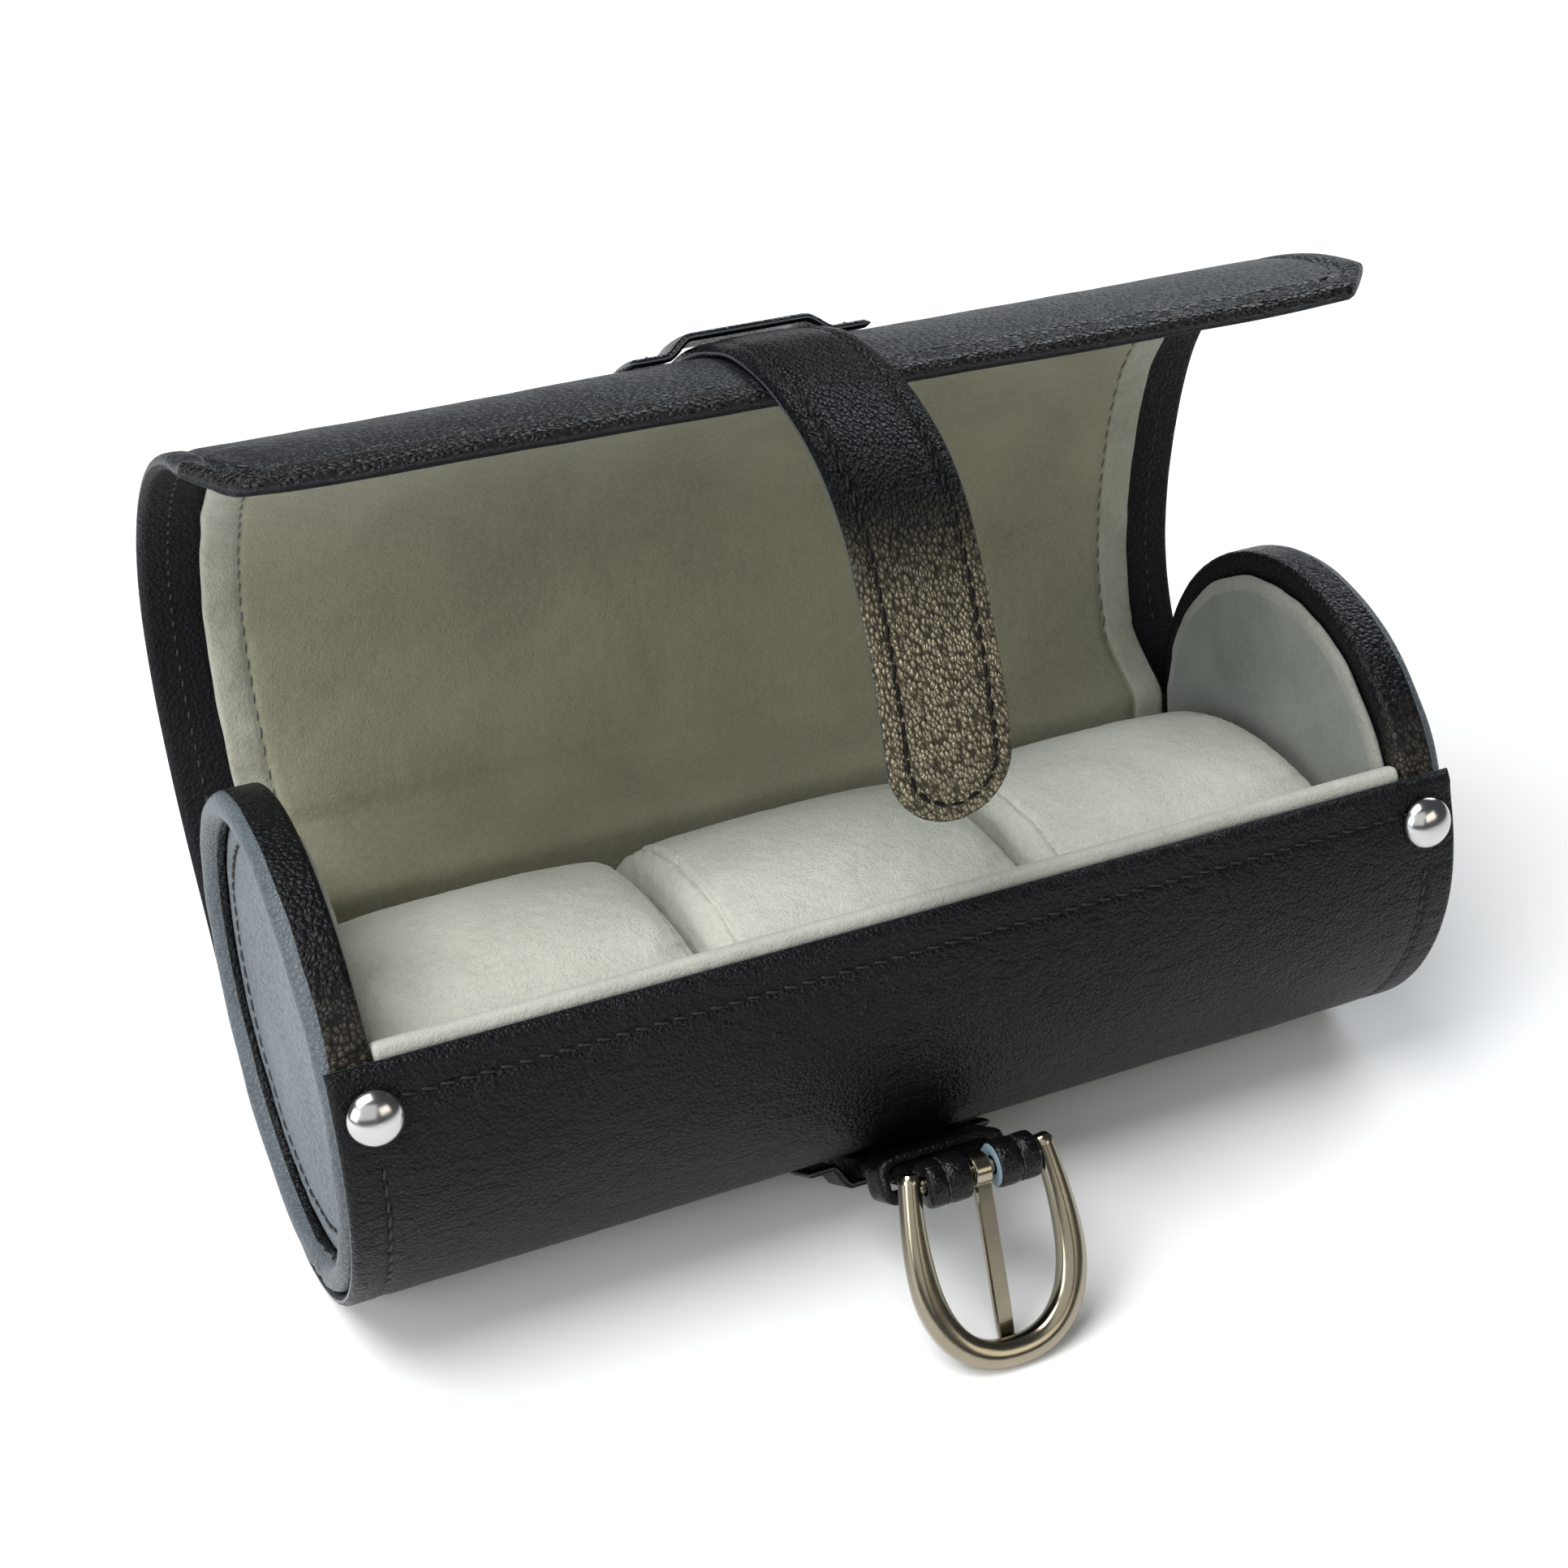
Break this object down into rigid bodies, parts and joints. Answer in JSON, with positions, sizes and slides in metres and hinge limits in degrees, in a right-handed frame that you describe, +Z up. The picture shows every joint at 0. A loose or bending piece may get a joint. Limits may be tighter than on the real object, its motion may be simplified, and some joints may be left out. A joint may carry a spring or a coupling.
{
  "type": "watch travel roll",
  "caption": "Round leather watch roll standing open, with removable pillows, a curved lid, a hanging strap and a prong buckle.",
  "frame": {"origin": "middle of the flat on the tube's underside, where it stands on the table", "axes": "+Z up, X along the tube, the front with the buckle is -Y"},
  "size_m": [0.2, 0.143, 0.1444],
  "materials": {
    "black_leather": "fine grain, slight sheen",
    "panel_leather": "smooth grain, satin",
    "pale_suede": "pale suede, matt",
    "lid_velvet": "olive-grey velvet",
    "board": "grey fibre board, hidden",
    "rivet_chrome": "polished",
    "gunmetal": "polished, bronze tint"
  },
  "bodies": {
    "case": {"case_wrap": "black_leather", "trough_board": "board", "trough_lining": "pale_suede", "front_welt": "pale_suede", "cap_core_left": "board", "cap_core_right": "board", "cap_band_left": "black_leather", "cap_band_right": "black_leather", "cap_panel_left": "panel_leather", "cap_panel_right": "panel_leather", "cap_disc_left": "pale_suede", "cap_disc_right": "pale_suede", "rivet_left": "rivet_chrome", "rivet_right": "rivet_chrome", "billet_loop": "black_leather", "billet_root": "black_leather"},
    "lid_back": {"lid_back": "black_leather", "lid_lining_back": "lid_velvet", "strap_back": "black_leather"},
    "lid_top": {"lid_top": "black_leather", "lid_lining_top": "lid_velvet", "strap_top": "black_leather"},
    "lid_front": {"lid_front": "black_leather", "lid_lining_front": "lid_velvet", "strap_front": "black_leather", "strap_keeper": "black_leather"},
    "strap_nose": {"strap_nose": "black_leather"},
    "strap_tongue": {"strap_tongue": "black_leather"},
    "billet": {"billet": "black_leather", "billet_keeper": "black_leather"},
    "buckle": {"buckle_frame": "gunmetal", "buckle_bar": "gunmetal"},
    "prong": {"buckle_prong": "gunmetal"},
    "pillow_1": {"pillow_1": "pale_suede"},
    "pillow_2": {"pillow_2": "pale_suede"},
    "pillow_3": {"pillow_3": "pale_suede"}
  },
  "joints": [
    {"name": "lid_hinge", "type": "hinge", "parent": "case", "child": "lid_back", "pos_m": [0, 0.047, 0.039], "axis": [1, 0, 0], "range_deg": [-20, 38.5]},
    {"name": "lid_flex_1", "type": "hinge", "parent": "lid_back", "child": "lid_top", "pos_m": [0, 0.06258, 0.08067], "axis": [1, 0, 0], "range_deg": [-8.88, 17.05]},
    {"name": "lid_flex_2", "type": "hinge", "parent": "lid_top", "child": "lid_front", "pos_m": [0, 0.04438, 0.12355], "axis": [1, 0, 0], "range_deg": [-2.65, 5.05]},
    {"name": "strap_hang", "type": "hinge", "parent": "lid_front", "child": "strap_nose", "pos_m": [0, 0.00153, 0.14335], "axis": [1, 0, 0], "range_deg": [-50.1, 26.05]},
    {"name": "strap_swing", "type": "hinge", "parent": "strap_nose", "child": "strap_tongue", "pos_m": [0, -0.01412, 0.14045], "axis": [-1, 0, 0], "range_deg": [-15, 75]},
    {"name": "billet_bend", "type": "hinge", "parent": "case", "child": "billet", "pos_m": [0, -0.03383, 0.01105], "axis": [-1, 0, 0], "range_deg": [0, 10]},
    {"name": "buckle_hinge", "type": "hinge", "parent": "billet", "child": "buckle", "pos_m": [0, -0.05881, 0.02854], "axis": [-1, 0, 0], "range_deg": [0, 80]},
    {"name": "prong_hinge", "type": "hinge", "parent": "buckle", "child": "prong", "pos_m": [0, -0.05881, 0.02854], "axis": [1, 0, 0], "range_deg": [0, 52]},
    {"name": "pillow_1_lift", "type": "slide", "parent": "case", "child": "pillow_1", "axis": [0, -0.3338, -0.9426], "range_m": [-0.028, 0]},
    {"name": "pillow_2_lift", "type": "slide", "parent": "case", "child": "pillow_2", "axis": [0, -0.3338, -0.9426], "range_m": [-0.028, 0]},
    {"name": "pillow_3_lift", "type": "slide", "parent": "case", "child": "pillow_3", "axis": [0, -0.3338, -0.9426], "range_m": [-0.028, 0]}
  ],
  "couplings": [
    {"joint": "lid_flex_1", "follows": "lid_hinge", "ratio": 0.44156},
    {"joint": "lid_flex_2", "follows": "lid_hinge", "ratio": 0.12987},
    {"joint": "strap_hang", "follows": "lid_hinge", "ratio": -1.3}
  ]
}
